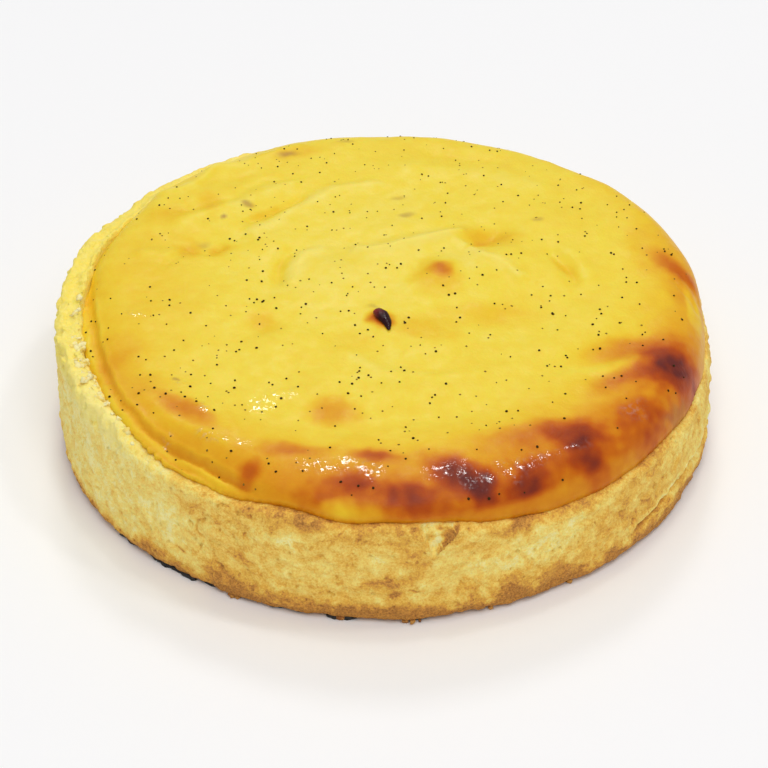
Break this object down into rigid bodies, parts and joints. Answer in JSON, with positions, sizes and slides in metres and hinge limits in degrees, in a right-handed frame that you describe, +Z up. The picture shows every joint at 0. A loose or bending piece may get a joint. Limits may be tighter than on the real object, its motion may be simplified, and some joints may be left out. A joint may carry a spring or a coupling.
{
  "type": "custard flan tart",
  "caption": "Deep round shortcrust tart overfilled with baked vanilla custard that has puffed over the craggy rim and browned along one side.",
  "frame": {"origin": "middle of the flat underside of the crust, on the surface the tart stands on", "axes": "+Z up, out of the custard; -Y the front, towards the picture's camera; +X to the right in the picture, where the custard hangs over the low rim"},
  "size_m": [0.0986, 0.0989, 0.0234],
  "materials": {
    "baked_crust": "baked shortcrust pastry: pale straw with soft amber patches, matt, finely pitted and crumbly at the rim",
    "baked_custard": "set egg custard with a thin moist glossy skin, bright yellow, browned to orange and maroon in patches, dotted with vanilla seeds"
  },
  "bodies": {
    "root": {"crust": "baked_crust", "custard": "baked_custard"}
  },
  "joints": []
}
